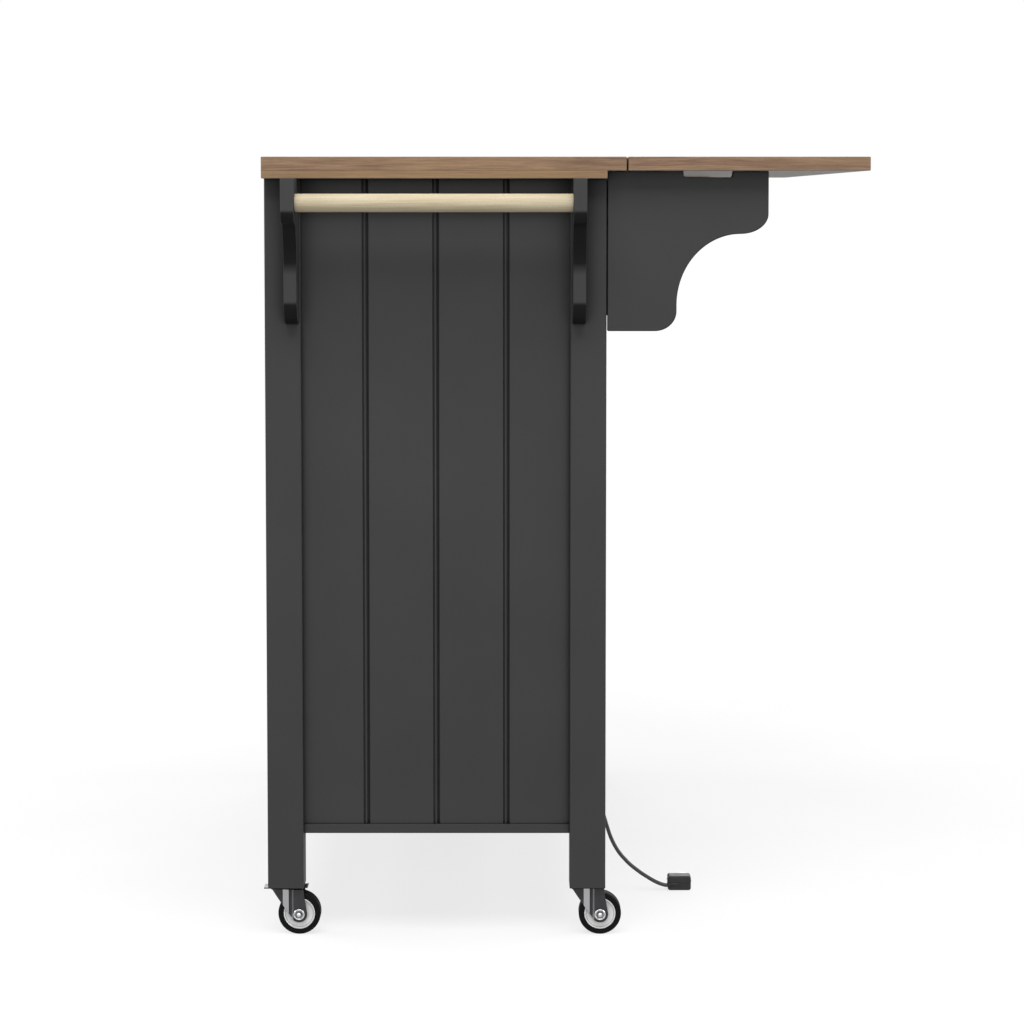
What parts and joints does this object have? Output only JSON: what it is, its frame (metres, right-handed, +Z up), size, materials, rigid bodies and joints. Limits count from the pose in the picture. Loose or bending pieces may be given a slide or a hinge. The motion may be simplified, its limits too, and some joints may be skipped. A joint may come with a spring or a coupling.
{
  "type": "drop leaf kitchen island",
  "caption": "Narrow painted kitchen island on casters with a wooden counter, a rear drop leaf on folding wings, a towel bar, doors, drawers and a power outlet with its cord.",
  "frame": {"origin": "on the floor, under the middle of the object's box, measured without the cord, the gland and the plug", "axes": "+X towards the end with the towel bar, +Y towards the drop leaf, +Z up; the doors and drawers face -Y"},
  "size_m": [1.113, 0.704, 0.914],
  "materials": {
    "counter_wood": "brown oak grain under a satin lacquer",
    "painted_wood": "smooth charcoal satin paint",
    "pale_wood": "bare pale beech, sanded",
    "birch": "clear lacquered birch ply",
    "black_steel": "pressed sheet with a black coating, semi-gloss",
    "zinc_steel": "bright zinc plating",
    "hub_nylon": "moulded light grey nylon",
    "tyre_rubber": "black rubber, matt",
    "black_plastic": "dark grey moulded plastic, satin"
  },
  "bodies": {
    "cabinet": {"main_top": "counter_wood", "leg_front_right": "painted_wood", "leg_back_right": "painted_wood", "leg_front_left": "painted_wood", "leg_back_left": "painted_wood", "end_panel_right": "painted_wood", "end_panel_left": "painted_wood", "end_rail_right": "painted_wood", "end_rail_left": "painted_wood", "front_rail": "painted_wood", "back_panel": "painted_wood", "cabinet_floor": "painted_wood", "drawer_deck": "painted_wood", "partition": "painted_wood", "drawer_divider": "painted_wood", "shelf_right": "painted_wood", "shelf_left": "painted_wood", "door_rod_right": "zinc_steel", "door_rod_left": "zinc_steel", "wing_hinge_plate_right": "zinc_steel", "wing_hinge_plate_left": "zinc_steel", "leaf_hinge_plate": "zinc_steel", "towel_bracket_front": "painted_wood", "towel_bracket_back": "painted_wood", "towel_bar": "pale_wood", "outlet_plate": "black_plastic", "cord_gland": "black_plastic", "power_cord": "black_plastic", "power_plug": "black_plastic"},
    "leaf": {"drop_leaf": "counter_wood", "leaf_hinge_flap": "zinc_steel"},
    "wing_right": {"leaf_wing_right": "painted_wood", "wing_hinge_flap_right": "zinc_steel"},
    "wing_left": {"leaf_wing_left": "painted_wood", "wing_hinge_flap_left": "zinc_steel"},
    "door_right_body": {"door_right": "painted_wood"},
    "door_left_body": {"door_left": "painted_wood"},
    "drawer_right": {"drawer_front_right": "painted_wood", "drawer_box_right": "birch"},
    "drawer_left": {"drawer_front_left": "painted_wood", "drawer_box_left": "birch"},
    "caster_front_right": {"caster_fork_front_right": "black_steel", "caster_axle_front_right": "zinc_steel"},
    "caster_back_right": {"caster_fork_back_right": "black_steel", "caster_axle_back_right": "zinc_steel"},
    "caster_front_left": {"caster_fork_front_left": "black_steel", "caster_axle_front_left": "zinc_steel"},
    "caster_back_left": {"caster_fork_back_left": "black_steel", "caster_axle_back_left": "zinc_steel"},
    "wheel_front_right": {"caster_hub_front_right": "hub_nylon", "caster_tyre_front_right": "tyre_rubber"},
    "wheel_back_right": {"caster_hub_back_right": "hub_nylon", "caster_tyre_back_right": "tyre_rubber"},
    "wheel_front_left": {"caster_hub_front_left": "hub_nylon", "caster_tyre_front_left": "tyre_rubber"},
    "wheel_back_left": {"caster_hub_back_left": "hub_nylon", "caster_tyre_back_left": "tyre_rubber"},
    "brake_right": {"brake_lever_right": "black_steel"},
    "brake_left": {"brake_lever_left": "black_steel"}
  },
  "joints": [
    {"name": "leaf_lift", "type": "hinge", "parent": "cabinet", "child": "leaf", "pos_m": [-0.0265, 0.073, 0.8956], "axis": [1, 0, 0], "range_deg": [0, 4]},
    {"name": "wing_right_swing", "type": "hinge", "parent": "cabinet", "child": "wing_right", "pos_m": [0.4635, 0.052, 0.8052], "axis": [0, 0, 1], "range_deg": [0, 90]},
    {"name": "wing_left_swing", "type": "hinge", "parent": "cabinet", "child": "wing_left", "pos_m": [-0.5165, 0.052, 0.8052], "axis": [0, 0, -1], "range_deg": [0, 90]},
    {"name": "door_right_swing", "type": "hinge", "parent": "cabinet", "child": "door_right_body", "pos_m": [0.4275, -0.3365, 0.44], "axis": [0, 0, 1], "range_deg": [0, 100]},
    {"name": "door_left_swing", "type": "hinge", "parent": "cabinet", "child": "door_left_body", "pos_m": [-0.4805, -0.3365, 0.44], "axis": [0, 0, -1], "range_deg": [0, 100]},
    {"name": "drawer_right_slide", "type": "slide", "parent": "cabinet", "child": "drawer_right", "axis": [0, -1, 0], "range_m": [0, 0.25]},
    {"name": "drawer_left_slide", "type": "slide", "parent": "cabinet", "child": "drawer_left", "axis": [0, -1, 0], "range_m": [0, 0.25]},
    {"name": "swivel_front_right", "type": "hinge", "parent": "cabinet", "child": "caster_front_right", "pos_m": [0.4605, -0.3255, 0.057], "axis": [0, 0, 1], "continuous": true},
    {"name": "swivel_back_right", "type": "hinge", "parent": "cabinet", "child": "caster_back_right", "pos_m": [0.4605, 0.029, 0.057], "axis": [0, 0, 1], "continuous": true},
    {"name": "swivel_front_left", "type": "hinge", "parent": "cabinet", "child": "caster_front_left", "pos_m": [-0.5135, -0.3255, 0.057], "axis": [0, 0, 1], "continuous": true},
    {"name": "swivel_back_left", "type": "hinge", "parent": "cabinet", "child": "caster_back_left", "pos_m": [-0.5135, 0.029, 0.057], "axis": [0, 0, 1], "continuous": true},
    {"name": "wheel_front_right_spin", "type": "hinge", "parent": "caster_front_right", "child": "wheel_front_right", "pos_m": [0.4605, -0.3105, 0.025], "axis": [1, 0, 0], "continuous": true},
    {"name": "wheel_back_right_spin", "type": "hinge", "parent": "caster_back_right", "child": "wheel_back_right", "pos_m": [0.4605, 0.044, 0.025], "axis": [1, 0, 0], "continuous": true},
    {"name": "wheel_front_left_spin", "type": "hinge", "parent": "caster_front_left", "child": "wheel_front_left", "pos_m": [-0.5135, -0.3105, 0.025], "axis": [1, 0, 0], "continuous": true},
    {"name": "wheel_back_left_spin", "type": "hinge", "parent": "caster_back_left", "child": "wheel_back_left", "pos_m": [-0.5135, 0.044, 0.025], "axis": [1, 0, 0], "continuous": true},
    {"name": "brake_right_press", "type": "hinge", "parent": "caster_front_right", "child": "brake_right", "pos_m": [0.4605, -0.3255, 0.0545], "axis": [-1, 0, 0], "range_deg": [0, 2]},
    {"name": "brake_left_press", "type": "hinge", "parent": "caster_front_left", "child": "brake_left", "pos_m": [-0.5135, -0.3255, 0.0545], "axis": [-1, 0, 0], "range_deg": [0, 2]}
  ]
}
